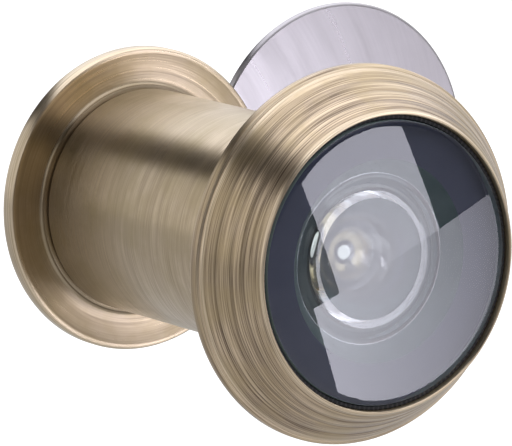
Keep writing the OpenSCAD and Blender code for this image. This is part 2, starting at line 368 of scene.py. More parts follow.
class Builder:
    """Adds nodes to a tree and joins them, so that a material reads from top to bottom."""

    def __init__(self, tree):
        self.tree = tree

    def node(self, kind, settings=None, **inputs):
        """A node with its settings, and its inputs by name, or by number as _0, _1 ..."""
        made = self.tree.nodes.new(kind)
        for key, value in (settings or {}).items():
            setattr(made, key, value)
        for key, value in inputs.items():
            by_number = key[0] == "_" and key[1:].isdigit()
            socket = made.inputs[int(key[1:]) if by_number else key.replace("_", " ")]
            if isinstance(value, bpy.types.NodeSocket):
                self.tree.links.new(value, socket)
            else:
                socket.default_value = value
        return made

    def math(self, operation, a, b=0.0, c=0.0):
        made = self.node("ShaderNodeMath", {"operation": operation}, _0=a, _1=b, _2=c)
        return made.outputs[0]

    def remap(self, value, lo, hi, out_lo=0.0, out_hi=1.0):
        made = self.node("ShaderNodeMapRange", None, _0=value, _1=lo, _2=hi, _3=out_lo, _4=out_hi)
        return made.outputs[0]

    def mix(self, factor, a, b):
        made = self.node("ShaderNodeMix", {"data_type": "RGBA"}, _0=factor, _6=a, _7=b)
        return made.outputs[2]

    def noise(self, vector, scale, detail=3.0, roughness=0.55):
        made = self.node(
            "ShaderNodeTexNoise",
            None,
            Vector=vector,
            Scale=scale,
            Detail=detail,
            Roughness=roughness,
        )
        return made.outputs[0]

    def place(self):
        return self.node("ShaderNodeTexCoord").outputs["Object"]

    def painted(self, name):
        """A value stored on the piece's points by paint()."""
        return self.node("ShaderNodeAttribute", {"attribute_name": name}).outputs["Fac"]


def turned_grain_group():
    """Marks left by turning and brushing about Y: each runs round its ring and fades in
    and out along it. Bands are broad, lines are fine, and blotches are slow patches."""
    group, b = new_group(
        "turned_grain",
        [
            ("Band rate", "NodeSocketFloat", 1200.0),
            ("Line rate", "NodeSocketFloat", 5000.0),
            ("Round rate", "NodeSocketFloat", 60.0),
        ],
        [(label, "NodeSocketFloat") for label in ("Bands", "Lines", "Blotches")],
    )
    inside = b.node("NodeGroupInput").outputs
    outside = b.node("NodeGroupOutput").inputs
    place = b.place()
    x, y, z = b.node("ShaderNodeSeparateXYZ", None, _0=place).outputs[:3]
    radius = b.math("SQRT", b.math("ADD", b.math("MULTIPLY", x, x), b.math("MULTIPLY", z, z)))
    along = b.math("MULTIPLY_ADD", radius, 1.3, y)

    def marks(rate, seed, detail, stretch):
        across = b.math("MULTIPLY", along, rate)
        round_rate = b.math("MULTIPLY", inside["Round rate"], stretch)
        turned_x = b.math("MULTIPLY_ADD", x, round_rate, seed)
        turned_z = b.math("MULTIPLY", z, round_rate)
        stretched = b.node("ShaderNodeCombineXYZ", None, _0=turned_x, _1=across, _2=turned_z)
        return b.noise(stretched.outputs[0], 1.0, detail)

    b.tree.links.new(marks(inside["Band rate"], 17.7, 2.5, 1.0), outside["Bands"])
    b.tree.links.new(marks(inside["Line rate"], 3.1, 3.0, 2.2), outside["Lines"])
    b.tree.links.new(b.noise(place, 140.0, 4.0, 0.6), outside["Blotches"])
    return group


GRAIN = turned_grain_group()


def grain(b, bands, lines, round_rate):
    made = b.node("ShaderNodeGroup", {"node_tree": GRAIN})
    made.inputs["Band rate"].default_value = bands
    made.inputs["Line rate"].default_value = lines
    made.inputs["Round rate"].default_value = round_rate
    return made.outputs[:3]


def new_material(name):
    material = bpy.data.materials.new(name)
    material.use_nodes = True
    material.node_tree.nodes.clear()
    return material, Builder(material.node_tree)


def finish_material(b, shader):
    b.node("ShaderNodeOutputMaterial", None, Surface=shader.outputs[0])


RUBBED_BRASS = (0.80, 0.66, 0.48, 1)
# Dark brown: patina in the bezel's grooves, and painted shade where the barrel meets the flange.
PATINA_AND_SHADE = (0.075, 0.052, 0.037, 1)
OLIVE_CAST = (0.62, 0.60, 0.47)  # share of each colour that an old patch gives back
BAND_SHARE = 0.33  # of the marks, the rest being fine lines


def antique_brass(name, light, dark, bands, lines, round_rate, contrast, rough):
    """Brushed brass with brown patina left in the turning marks, under thin lacquer.
    Points painted worn are rubbed bright. Points painted dark keep brown patina in the bezel's
    grooves, and get painted shade round the flange's collar, where the barrel meets it."""
    material, b = new_material(name)
    band, line, blotch = grain(b, bands, lines, round_rate)
    band_part = b.math("MULTIPLY", band, BAND_SHARE)
    line_part = b.math("MULTIPLY", line, 1 - BAND_SHARE)
    marks = b.math("ADD", band_part, line_part)
    mask = b.remap(marks, 0.5 - contrast, 0.5 + contrast)
    colour = b.mix(mask, (*dark, 1), (*light, 1))
    olive = (*(c * share for c, share in zip(light, OLIVE_CAST)), 1)
    colour = b.mix(b.remap(blotch, 0.42, 0.62, 0.0, 0.6), colour, olive)
    worn = b.math("MULTIPLY", b.painted("worn"), b.remap(line, 0.35, 0.6, 0.3, 1.0))
    colour = b.mix(worn, colour, RUBBED_BRASS)
    # Darkening read from the points: patina in grooves, and painted shade round the flange's
    # collar.
    patina_and_shade = b.math("MULTIPLY", b.painted("patina_and_shade"), b.remap(band, 0.35, 0.6, 1.0, 0.5))
    colour = b.mix(patina_and_shade, colour, PATINA_AND_SHADE)
    roughness = b.remap(marks, 0.35, 0.65, rough + 0.08, rough - 0.06)
    bump = b.node("ShaderNodeBump", None, Strength=0.5, Distance=0.009 * MM, Height=marks)
    tangent = b.node("ShaderNodeTangent", {"direction_type": "RADIAL", "axis": "Y"})
    shader = b.node(
        "ShaderNodeBsdfPrincipled",
        None,
        Base_Color=colour,
        Metallic=1.0,
        Roughness=roughness,
        Anisotropic=0.75,
        Anisotropic_Rotation=0.25,
        Coat_Weight=0.4,
        Coat_Roughness=0.2,
        Normal=bump.outputs[0],
        Tangent=tangent.outputs[0],
    )
    finish_material(b, shader)
    return material


def turned_metal(name, colour, rough, bands=900, lines=3500, depth=0.01, spread=0.12):
    """Plain turned or rolled metal with faint marks and slow changes of shade."""
    material, b = new_material(name)
    band, line, blotch = grain(b, bands, lines, 50)
    slow = b.remap(blotch, 0.3, 0.7, -spread / 2, spread / 2)
    fine = b.remap(line, 0.3, 0.7, 1 - spread, 1.0)
    shade = b.math("ADD", slow, fine)
    tint = b.node("ShaderNodeVectorMath", {"operation": "SCALE"}, _0=colour, Scale=shade)
    bump = b.node("ShaderNodeBump", None, Strength=0.3, Distance=depth * MM, Height=line)
    shader = b.node(
        "ShaderNodeBsdfPrincipled",
        None,
        Base_Color=tint.outputs[0],
        Metallic=1.0,
        Roughness=b.remap(band, 0.3, 0.7, rough - 0.05, rough + 0.05),
        Normal=bump.outputs[0],
    )
    finish_material(b, shader)
    return material


GLASS_IOR = 1.52


def clear_glass(name, colour):
    """Polished glass, a touch deeper in tint here and there."""
    material, b = new_material(name)
    cloud = b.noise(b.place(), 90.0, 4.0)
    deeper = tuple(0.98 * c for c in colour)
    shader = b.node(
        "ShaderNodeBsdfPrincipled",
        None,
        Base_Color=b.mix(b.remap(cloud, 0.4, 0.6), (*colour, 1), (*deeper, 1)),
        Metallic=0.0,
        Roughness=0.0,
        Transmission_Weight=1.0,
        IOR=GLASS_IOR,
    )
    finish_material(b, shader)
    return material


def dull(name, colour, rough, speckle_size=0.35, depth=0.02, other=None):
    """Paint, rubber, anodising or plastic with a fine tooth."""
    material, b = new_material(name)
    speckle = b.noise(b.place(), 1 / (speckle_size * MM), 3.0)
    slow = b.noise(b.place(), 160.0, 3.0)
    other = other or tuple(0.7 * c for c in colour)
    bump = b.node("ShaderNodeBump", None, Strength=0.3, Distance=depth * MM, Height=speckle)
    shader = b.node(
        "ShaderNodeBsdfPrincipled",
        None,
        Base_Color=b.mix(b.remap(slow, 0.35, 0.65), (*colour, 1), (*other, 1)),
        Roughness=b.remap(speckle, 0.3, 0.7, rough - 0.08, rough + 0.08),
        Normal=bump.outputs[0],
    )
    finish_material(b, shader)
    return material


def milky_sheen_glass(name, colour, clearness):
    """Glass with a milky diffuse layer, which scatters some of the light that meets it. The layer
    is painted reflection: it stands for the sheen of the lens's inner surfaces.
    """
    material, b = new_material(name)
    cloud = b.noise(b.place(), 120.0, 3.0)
    dim = tuple(0.9 * c for c in colour)
    shader = b.node(
        "ShaderNodeBsdfPrincipled",
        None,
        Base_Color=b.mix(b.remap(cloud, 0.35, 0.65), (*colour, 1), (*dim, 1)),
        Metallic=0.0,
        Roughness=0.03,
        Transmission_Weight=clearness,
        IOR=GLASS_IOR,
    )
    finish_material(b, shader)
    return material


def backing_paint(name, colour, other):
    """Paint on the back of glass, which wets the surface and shines no further."""
    material, b = new_material(name)
    slow = b.noise(b.place(), 160.0, 3.0)
    shader = b.node(
        "ShaderNodeBsdfPrincipled",
        None,
        Base_Color=b.mix(b.remap(slow, 0.35, 0.65), (*colour, 1), (*other, 1)),
        Roughness=0.9,
        Specular_IOR_Level=0.0,
    )
    finish_material(b, shader)
    return material


BEZEL_BRASS = antique_brass(
    "bezel_brass",
    light=(0.64, 0.50, 0.345),
    dark=(0.15, 0.105, 0.068),
    bands=2000,
    lines=7000,
    round_rate=45,
    contrast=0.095,
    rough=0.36,
)
BARREL_BRASS = antique_brass(
    "barrel_brass",
    light=(0.58, 0.465, 0.315),
    dark=(0.33, 0.25, 0.16),
    bands=1400,
    lines=7500,
    round_rate=70,
    contrast=0.18,
    rough=0.34,
)
FLANGE_BRASS = antique_brass(
    "flange_brass",
    light=(0.48, 0.385, 0.265),
    dark=(0.285, 0.222, 0.148),
    bands=900,
    lines=4500,
    round_rate=35,
    contrast=0.22,
    rough=0.32,
)
RAW_BRASS = turned_metal("raw_brass", (0.74, 0.58, 0.32), 0.24)
BRIGHT_ALLOY = turned_metal("bright_alloy", (0.93, 0.92, 0.97), 0.45)
PIVOT_STEEL = turned_metal("pivot_steel", (0.66, 0.65, 0.66), 0.24)
COVER_STEEL = turned_metal("cover_steel", (0.43, 0.405, 0.415), 0.32, 300, 2500, 0.004, 0.06)
LENS_GLASS = clear_glass("lens_glass", (0.97, 0.995, 0.99))
# Milky layer for the hollow in the front lens: painted reflection of its inner surfaces.
MILKY_SHEEN_GLASS = milky_sheen_glass("milky_sheen_glass", (0.93, 0.93, 1.0), 0.72)
MARGIN_PAINT = backing_paint("margin_paint", (0.095, 0.10, 0.15), (0.105, 0.11, 0.165))
GROUND_EDGE = dull("ground_glass_edge", (0.075, 0.13, 0.145), 0.5, 0.2, 0.03, (0.13, 0.19, 0.205))
CUT_EDGE = dull("cut_glass_edge", (0.22, 0.29, 0.305), 0.4, 0.2, 0.03, (0.15, 0.21, 0.22))
SATIN_LIP = turned_metal("satin_lip", (0.07, 0.09, 0.10), 0.5)
MATT_BLACK = dull("matt_black", (0.02, 0.021, 0.028), 0.5)
BLACK_SEAL = dull("black_seal", (0.02, 0.02, 0.024), 0.5, 0.2)
WHITE_PLASTIC = dull("white_plastic", (0.75, 0.75, 0.72), 0.42, 0.3, 0.01)


# ---------------------------------------------------------------- outside half
# Each band's crest: how far in from the rim, and how far in front of the door.
BAND_CRESTS = ((0.45, 1.45), (1.6, 3.05), (2.58, 4.5), (3.38, 5.72), (4.22, 7.0))
BAND_STEPS = (0.0, 0.1, 0.28, 0.5, 0.72, 0.86, 0.93)  # places along a band, from its crest
BAND_BULGE = 0.05
GROOVE_DEPTH = 0.03


def make_bezel():
    """The turned head: a straight rim, a cone of softly rounded bands that step in one
    from the next, and a smooth rounded lip round the window."""
    crests = [(BEZEL_R - inset, DOOR_FRONT_Y - reach) for inset, reach in BAND_CRESTS]
    outline = [
        (SPIGOT_R, DOOR_FRONT_Y),
        (BEZEL_R - 0.3, DOOR_FRONT_Y),
        (BEZEL_R - 0.08, DOOR_FRONT_Y - 0.08),
        (BEZEL_R, DOOR_FRONT_Y - 0.3),
        (BEZEL_R, DOOR_FRONT_Y - 0.95),
        (BEZEL_R - 0.06, DOOR_FRONT_Y - 1.15),
        (BEZEL_R - 0.22, DOOR_FRONT_Y - 1.25),
        (crests[0][0], crests[0][1] + 0.12),
    ]
    for (r0, y0), (r1, y1) in zip(crests, crests[1:]):
        length = math.hypot(r1 - r0, y1 - y0)
        out_r, out_y = (y0 - y1) / length, (r1 - r0) / length
        for t in BAND_STEPS:
            bulge = BAND_BULGE * math.sin(math.pi * min(1.0, t * 1.08)) - GROOVE_DEPTH * (t > 0.9)
            r = r0 + (r1 - r0) * t + out_r * bulge
            y = y0 + (y1 - y0) * t + out_y * bulge
            outline.append((r, y))
    outline += [
        crests[-1],
        (WINDOW_R + 0.42, LIP_Y + 0.22),
        (WINDOW_R + 0.26, LIP_Y + 0.05),
        (WINDOW_R + 0.12, LIP_Y),
        (WINDOW_R + 0.02, LIP_Y + 0.08),
        (WINDOW_R, LIP_Y + 0.22),
        (WINDOW_R, CUP_FLOOR_Y),
        (SPIGOT_R, CUP_FLOOR_Y),
        (SPIGOT_R, DOOR_FRONT_Y),
    ]
    piece = lathe("bezel_head", outline, 256)
    smooth(piece, 50)

    def near(p, places, width):
        r = math.hypot(p.x, p.z)
        gap = min(math.hypot(r - q[0], p.y - q[1]) for q in places)
        return max(0.0, 1 - gap / width)

    grooves = [(r + 0.05, y + 0.08) for r, y in crests[1:-1]]
    worn_rings = [crests[0], (WINDOW_R + 0.3, LIP_Y + 0.1)]
    paint(piece, "worn", lambda p: near(p, worn_rings, 0.55))
    paint(piece, "patina_and_shade", lambda p: 0.45 * near(p, grooves, 0.22))
    dress(piece, "outside_half", "antique_brass", BEZEL_BRASS, "bezel")


def make_barrel():
    """The tube through the door, which steps down to enter the bezel, with a nut thread
    cut in its mouth."""
    outline = [
        (BORE_R, CUP_FLOOR_Y),
        (SPIGOT_R, CUP_FLOOR_Y),
        (SPIGOT_R, DOOR_FRONT_Y),
        (BARREL_R, DOOR_FRONT_Y),
        (BARREL_R, BARREL_END_Y - 0.45),
        (BARREL_R - 0.13, BARREL_END_Y - 0.13),
        (BARREL_R - 0.45, BARREL_END_Y),
        (BORE_R + 0.3, BARREL_END_Y),
        (BORE_R, BARREL_END_Y - 0.3),
        (BORE_R, CUP_FLOOR_Y),
    ]
    piece = lathe("barrel_tube", outline)
    turns = 7
    first_y = THREAD_PITCH * math.floor(BARREL_END_Y / THREAD_PITCH - turns)
    ridge = thread("nut_thread", BORE_R, -THREAD_HEIGHT, first_y, turns)
    taper_ends(ridge, BORE_R, -THREAD_HEIGHT, first_y, turns)
    combine(piece, ridge, "UNION")
    smooth(piece)
    dress(piece, "outside_half", "antique_brass", BARREL_BRASS, "barrel")


def make_lens_gasket():
    """Black ring between lip and glass. Its front edge is finely notched."""
    front_y = GASKET_Y + HAIR
    outline = [
        (GLASS_R + 0.04, CUP_FLOOR_Y - HAIR),
        (GLASS_R + 0.04, front_y + 0.2),
        (GLASS_R + 0.14, front_y),
        (WINDOW_R - 0.14, front_y),
        (WINDOW_R - HAIR, front_y + 0.12),
        (WINDOW_R - HAIR, CUP_FLOOR_Y - HAIR),
        (GLASS_R + 0.04, CUP_FLOOR_Y - HAIR),
    ]
    notches = 160
    piece = lathe("lens_gasket_ring", outline, 2 * notches)
    step = math.tau / notches

    def in_notch(p):
        turned = math.atan2(p.x, p.z) / step
        return p.y < front_y + 0.25 and abs(turned - round(turned)) < 0.2

    pick(piece, in_notch)
    edit(piece)
    bpy.ops.transform.translate(value=(0, 0.12 * MM, 0))
    done()
    smooth(piece, 20)
    dress(piece, "outside_half", "black_seal", BLACK_SEAL, "lens_gasket")


def make_front_lens():
    """One pressed glass: faintly domed front, flat margin painted dark behind, and a
    tapered neck with a ground edge and a deep hollow in its back."""
    margin_thick = 2.6
    dome = 0.385
    face_y = SEAT_Y - margin_thick
    front = cap(GLASS_R - 0.18, dome, face_y, -1)
    ball_r = (DISH_R * DISH_R + DISH_DEPTH * DISH_DEPTH) / (2 * DISH_DEPTH)
    step = 0.55
    step_width = 1.5
    step_r = NECK_R - 0.45
    inner_depth = DISH_DEPTH - step
    inner_r = math.sqrt(inner_depth * (2 * ball_r - inner_depth))
    bowl = [
        (step_r - step_width * i / 6, NECK_END_Y - step * math.sin(math.pi / 2 * i / 6))
        for i in range(7)
    ]
    hollow = bowl + cap(inner_r, inner_depth, NECK_END_Y - step, -1)
    outline = (
        outward(front)
        + [
            (GLASS_R - 0.05, face_y + 0.06),
            (GLASS_R, face_y + 0.2),
            (GLASS_R, SEAT_Y - 0.3),
            (GLASS_R - 0.25, SEAT_Y - 0.04),
            (APERTURE_R, SEAT_Y - 0.04),
            (NECK_R, NECK_END_Y),
        ]
        + hollow
    )
    piece = lathe("front_lens_glass", outline)
    smooth(piece, 30)
    finishes = (LENS_GLASS, MARGIN_PAINT, GROUND_EDGE, MILKY_SHEEN_GLASS, CUT_EDGE)
    _, painted, ground, sheen, cut = range(len(finishes))
    dress(piece, "outside_half", "lens_glass", finishes, "front_lens")
    for face in piece.data.polygons:
        x, y, z = face.center / MM
        r = math.hypot(x, z)
        if r > APERTURE_R and y > SEAT_Y - 0.3:
            face.material_index = painted
        elif r > GLASS_R - 0.1:
            face.material_index = cut
        elif r > NECK_R - 0.2 and y > SEAT_Y:
            face.material_index = ground
        # The hollow's faces take the milky layer, painted reflection of the lens's inner surfaces.
        elif r < DISH_R and y > SEAT_Y - 1.5:
            face.material_index = sheen


def make_light_baffle():
    """Black plate behind the lens margin, stepped towards the bore to trap light."""
    inner_r = APERTURE_R + 0.1
    outline = [
        (inner_r, SEAT_Y + 0.3),
        (inner_r + 0.3, SEAT_Y + HAIR),
        (GLASS_R - 0.3, SEAT_Y + HAIR),
        (GLASS_R - HAIR, SEAT_Y + 0.2),
        (GLASS_R - HAIR, CUP_FLOOR_Y - HAIR),
        (inner_r, CUP_FLOOR_Y - HAIR),
        (inner_r, SEAT_Y + 0.3),
    ]
    piece = lathe("light_baffle_plate", outline, 128)
    smooth(piece)
    dress(piece, "outside_half", "matt_black", MATT_BLACK, "light_baffle")


def make_lens_cell():
    """Turned sleeve: a lip that stops the second lens, and a bore that holds the stack."""
    lip_r = STOP_R + 0.3
    seat_r = INNER_LENS_R + SLIP
    lip_back_y = CELL_FRONT_Y + CELL_LIP_THICK
    outline = [
        (lip_r + 0.7, CELL_FRONT_Y + HAIR),
        (CELL_R - 0.2, CELL_FRONT_Y + HAIR),
        (CELL_R, CELL_FRONT_Y + 0.25),
        (CELL_R, CELL_BACK_Y - 0.2),
        (CELL_R - 0.2, CELL_BACK_Y),
        (seat_r + 0.2, CELL_BACK_Y),
        (seat_r, CELL_BACK_Y - 0.2),
        (seat_r, lip_back_y),
        (lip_r, lip_back_y),
        (lip_r, CELL_FRONT_Y + 0.6),
        (lip_r + 0.7, CELL_FRONT_Y + HAIR),
    ]
    piece = lathe("lens_cell_sleeve", outline, 128)
    smooth(piece)
    dress(piece, "outside_half", "bright_alloy", (BRIGHT_ALLOY, SATIN_LIP), "lens_cell")
    for face in piece.data.polygons:
        if face.center.y / MM < lip_back_y:
            face.material_index = 1


def make_lens(name, node, body, front, back, edge_r, front_y, back_y):
    """A polished lens between two curves, with a short bevel ground on each edge."""
    bevel = 0.15
    outline = (
        outward(front)
        + [
            (edge_r - bevel, front_y),
            (edge_r, front_y + bevel),
            (edge_r, back_y - bevel),
            (edge_r - bevel, back_y),
        ]
        + back
    )
    piece = lathe(name, outline, 128)
    smooth(piece, 30)
    dress(piece, body, "lens_glass", (LENS_GLASS, GROUND_EDGE), node)
    for face in piece.data.polygons:
        r = math.hypot(face.center.x, face.center.z) / MM
        if r > edge_r - bevel:
            face.material_index = 1


def make_inner_lenses():
    """The second lens, faintly domed in front and hollow behind, the third, hollow on
    both sides, and the eyepiece lens, flat in front and domed behind."""
    second_y = CELL_FRONT_Y + CELL_LIP_THICK
    second_dome = 0.3
    second_hollow = 2.0
    third_hollow = 0.9
    eye_edge_y = EYE_LENS_Y + EYE_LENS_EDGE
    make_lens(
        "second_lens_glass",
        "second_lens",
        "outside_half",
        cap(STOP_R, second_dome, second_y, -1),
        cap(STOP_R, second_hollow, SPACER_Y, -1),
        INNER_LENS_R,
        second_y,
        SPACER_Y,
    )
    make_lens(
        "third_lens_glass",
        "third_lens",
        "outside_half",
        cap(STOP_R, third_hollow, THIRD_LENS_Y, 1),
        cap(STOP_R, third_hollow, THIRD_LENS_END_Y, -1),
        INNER_LENS_R,
        THIRD_LENS_Y,
        THIRD_LENS_END_Y,
    )
    make_lens(
        "eyepiece_lens_glass",
        "eyepiece_lens",
        "eyepiece",
        [(EYE_LENS_R - 0.4, EYE_LENS_Y), (0, EYE_LENS_Y)],
        cap(EYE_HOLE_R - 0.1, EYE_LENS_TOP_Y - eye_edge_y, eye_edge_y, 1),
        EYE_LENS_R,
        EYE_LENS_Y,
        eye_edge_y,
    )


def make_lens_spacer():
    """Ring between the inner lenses, grooved inside."""
    grooves = 5
    width = (THIRD_LENS_Y - SPACER_Y) / grooves
    outline = [
        (STOP_R, SPACER_Y + HAIR),
        (INNER_LENS_R - 0.1, SPACER_Y + HAIR),
        (INNER_LENS_R, SPACER_Y + 0.12),
        (INNER_LENS_R, THIRD_LENS_Y - 0.12),
        (INNER_LENS_R - 0.1, THIRD_LENS_Y - HAIR),
        (STOP_R, THIRD_LENS_Y - HAIR),
    ]
    for i in range(grooves - 1, 0, -1):
        outline.append((STOP_R + 0.25, SPACER_Y + (i + 0.4) * width))
        outline.append((STOP_R, SPACER_Y + i * width))
    outline.append(outline[0])
    piece = lathe("lens_spacer_ring", outline, 128)
    smooth(piece, 25)
    dress(piece, "outside_half", "bright_alloy", BRIGHT_ALLOY, "lens_spacer")


def make_cell_retaining_ring():
    """Threaded ring that holds the stack in, with two key slots in its back."""
    outline = ring_outline(INNER_LENS_R, STOP_R, THIRD_LENS_END_Y + HAIR, CELL_RING_BACK_Y, 0.12)
    piece = lathe("cell_retaining_ring_slotted", outline, 128)
    slots = block((0, CELL_RING_BACK_Y, 0), (3 * INNER_LENS_R, 1.4, 1.6))
    combine(piece, slots, "DIFFERENCE")
    smooth(piece)
    dress(piece, "outside_half", "bright_alloy", BRIGHT_ALLOY, "cell_retaining_ring")


# ---------------------------------------------------------------- inside half
def make_eyepiece():
    """The cell in the tube's back end, sloping in to the eye hole, and the ring that
    holds the eyepiece lens against its lip."""
    lens_seat_r = EYE_LENS_R + SLIP
    lip_y = EYEPIECE_BACK_Y - 0.6
    outline = [
        (lens_seat_r, EYEPIECE_FRONT_Y),
        (EYEPIECE_R - 0.15, EYEPIECE_FRONT_Y),
        (EYEPIECE_R, EYEPIECE_FRONT_Y + 0.15),
        (EYEPIECE_R, EYEPIECE_BACK_Y - 0.2),
        (EYEPIECE_R - 0.2, EYEPIECE_BACK_Y),
        (EYE_HOLE_R + 1.1, EYEPIECE_BACK_Y),
        (EYE_HOLE_R + 0.95, EYEPIECE_BACK_Y - 0.12),
        (EYE_HOLE_R + 0.15, EYEPIECE_BACK_Y - 0.38),
        (EYE_HOLE_R, lip_y),
        (lens_seat_r, lip_y),
        (lens_seat_r, EYEPIECE_FRONT_Y),
    ]
    piece = lathe("eyepiece_cell_ring", outline, 128)
    smooth(piece)
    dress(piece, "eyepiece", "matt_black", MATT_BLACK, "eyepiece_cell")
    outline = ring_outline(EYE_LENS_R, EYE_HOLE_R, EYE_RING_Y, EYE_LENS_Y - HAIR, 0.12)
    piece = lathe("eyepiece_retaining_ring_black", outline, 128)
    smooth(piece)
    dress(piece, "eyepiece", "matt_black", MATT_BLACK, "eyepiece_retaining_ring")


def make_threaded_tube():
    """The inside half's screw, with two coin slots across its back end."""
    outline = [
        (TUBE_BORE_R, TUBE_FRONT_Y + 0.2),
        (TUBE_BORE_R + 0.2, TUBE_FRONT_Y),
        (TUBE_R - 0.4, TUBE_FRONT_Y),
        (TUBE_R, TUBE_FRONT_Y + 0.4),
        (TUBE_R, FLANGE_BACK_Y - 0.15),
        (TUBE_R - 0.15, FLANGE_BACK_Y),
        (TUBE_BORE_R + 0.2, FLANGE_BACK_Y),
        (TUBE_BORE_R, FLANGE_BACK_Y - 0.2),
        (TUBE_BORE_R, TUBE_FRONT_Y + 0.2),
    ]
    piece = lathe("threaded_tube_brass", outline)
    first_y = THREAD_PITCH * (math.ceil((TUBE_FRONT_Y + 0.8) / THREAD_PITCH - 0.5) + 0.5)
    turns = int((DOOR_BACK_Y - 1.0 - first_y) / THREAD_PITCH)
    ridge = thread("screw_thread", TUBE_R, THREAD_HEIGHT, first_y, turns)
    taper_ends(ridge, TUBE_R, THREAD_HEIGHT, first_y, turns)
    combine(piece, ridge, "UNION")
    slots = block((0, FLANGE_BACK_Y, 0), (3 * TUBE_R, 1.8, 2.2))
    combine(piece, slots, "DIFFERENCE")
    smooth(piece)
    dress(piece, "inside_half", "raw_brass", RAW_BRASS, "threaded_tube")


def make_flange():
    """Round plate: a rounded rim, a dished front that sweeps up to a collar behind the
    barrel's end, and a flat brushed back."""
    dish_y = DOOR_BACK_Y + 0.5
    collar_r = BARREL_R + 0.3
    fillet_width = 0.45
    fillet_rise = 0.42
    crown_y = DOOR_BACK_Y + 0.08
    fillet = [
        (collar_r + fillet_width * (1 - math.cos(a)), crown_y + fillet_rise * math.sin(a))
        for a in (math.radians(15 * i) for i in range(7))
    ]
    rim = [
        (FLANGE_R - 0.75, DOOR_BACK_Y + 0.06),
        (FLANGE_R - 0.5, DOOR_BACK_Y),
        (FLANGE_R - 0.25, DOOR_BACK_Y + 0.04),
        (FLANGE_R - 0.07, DOOR_BACK_Y + 0.2),
        (FLANGE_R, DOOR_BACK_Y + 0.4),
        (FLANGE_R, FLANGE_BACK_Y - 0.5),
        (FLANGE_R - 0.1, FLANGE_BACK_Y - 0.2),
        (FLANGE_R - 0.35, FLANGE_BACK_Y - 0.03),
        (FLANGE_R - 0.6, FLANGE_BACK_Y),
    ]
    hole_r = TUBE_R + 0.01
    outline = (
        [(hole_r, DOOR_BACK_Y + 0.1), (collar_r - 0.25, DOOR_BACK_Y)]
        + fillet
        + [(collar_r + 1.6, dish_y - 0.03)]
        + rim
        + [
            (hole_r + 0.2, FLANGE_BACK_Y),
            (hole_r, FLANGE_BACK_Y - 0.2),
            (hole_r, DOOR_BACK_Y + 0.1),
        ]
    )
    piece = lathe("flange_plate", outline, 256)
    hole_y = DOOR_BACK_Y - 1, FLANGE_BACK_Y + 1
    hole = peg(RIVET_HOLE_R, RIVET_CENTRE.x, RIVET_CENTRE.z, *hole_y)
    combine(piece, hole, "DIFFERENCE")
    smooth(piece, 30)

    def near_ring(p, r, width):
        return max(0.0, 1 - abs(math.hypot(p.x, p.z) - r) / width)

    paint(piece, "worn", lambda p: near_ring(p, FLANGE_R - 0.2, 0.35))
    # Painted shade: a dark ring round the collar, where the barrel's end meets the plate.
    paint(piece, "patina_and_shade", lambda p: 0.55 * near_ring(p, collar_r, 0.5))
    dress(piece, "inside_half", "antique_brass", FLANGE_BRASS, "flange")


def make_pivot():
    """Shouldered rivet with a spread tail and a domed head, the coned spring washer and
    the thin plastic washer that the cover rubs on."""
    head_y = RIVET_TOP_Y - 0.7
    outline = [
        (0, RIVET_TAIL_Y),
        (1.5, RIVET_TAIL_Y),
        (1.72, RIVET_TAIL_Y + 0.1),
        (1.72, FLANGE_BACK_Y - 0.05),
        (SHOULDER_R, FLANGE_BACK_Y - 0.05),
        (SHOULDER_R, head_y),
        (RIVET_HEAD_R - 0.12, head_y),
        (RIVET_HEAD_R, head_y + 0.1),
        (RIVET_HEAD_R, head_y + 0.24),
    ]
    outline += cap(RIVET_HEAD_R - 0.06, 0.38, head_y + 0.32, 1, 8)
    piece = lathe("pivot_rivet_steel", outline, 64)
    move(piece, RIVET_CENTRE.x, RIVET_CENTRE.z)
    smooth(piece)
    dress(piece, "inside_half", "cover_steel", PIVOT_STEEL, "pivot_rivet")
    outline = [
        (WASHER_HOLE_R, SPRING_TOP_Y - 0.2),
        (WASHER_R - 0.03, SPRING_Y),
        (WASHER_R, SPRING_Y + 0.03),
        (WASHER_R, SPRING_Y + 0.17),
        (WASHER_R - 0.03, SPRING_Y + 0.2),
        (WASHER_HOLE_R, SPRING_TOP_Y),
        (WASHER_HOLE_R, SPRING_TOP_Y - 0.2),
    ]
    piece = lathe("spring_washer_coned", outline, 64)
    move(piece, RIVET_CENTRE.x, RIVET_CENTRE.z)
    smooth(piece)
    dress(piece, "inside_half", "cover_steel", PIVOT_STEEL, "spring_washer")
    outline = ring_outline(WASHER_R, WASHER_HOLE_R, WASHER_Y, WASHER_TOP_Y, 0.04)
    piece = lathe("pivot_washer_plastic", outline, 64)
    move(piece, RIVET_CENTRE.x, RIVET_CENTRE.z)
    smooth(piece)
    dress(piece, "inside_half", "washer_plastic", WHITE_PLASTIC, "pivot_washer")


def make_cover():
    """Flat pressed disc, rounded at its rim, with a hole for the pivot."""
    edge = 0.3  # width of the rounding
    flat_r = COVER_R - edge - 0.06
    outline = [
        (0, COVER_FRONT_Y),
        (COVER_R / 2, COVER_FRONT_Y),
        (flat_r, COVER_FRONT_Y),
        (COVER_R - edge, COVER_FRONT_Y),
        (COVER_R - 0.1, COVER_FRONT_Y + 0.08),
        (COVER_R, COVER_FRONT_Y + edge),
        (COVER_R, COVER_BACK_Y - edge),
        (COVER_R - 0.1, COVER_BACK_Y - 0.08),
        (COVER_R - edge, COVER_BACK_Y),
        (flat_r, COVER_BACK_Y),
        (COVER_R / 2, COVER_BACK_Y),
        (0, COVER_BACK_Y),
    ]
    piece = lathe("privacy_cover_disc", outline, 256)
    move(piece, COVER_CENTRE.x, COVER_CENTRE.z)
    hole_y = COVER_FRONT_Y - 1, COVER_BACK_Y + 1
    hole = peg(WASHER_HOLE_R, RIVET_CENTRE.x, RIVET_CENTRE.z, *hole_y)
    combine(piece, hole, "DIFFERENCE", "EXACT")
    smooth(piece, 30)
    dress(piece, "cover", "cover_steel", COVER_STEEL, "privacy_cover")


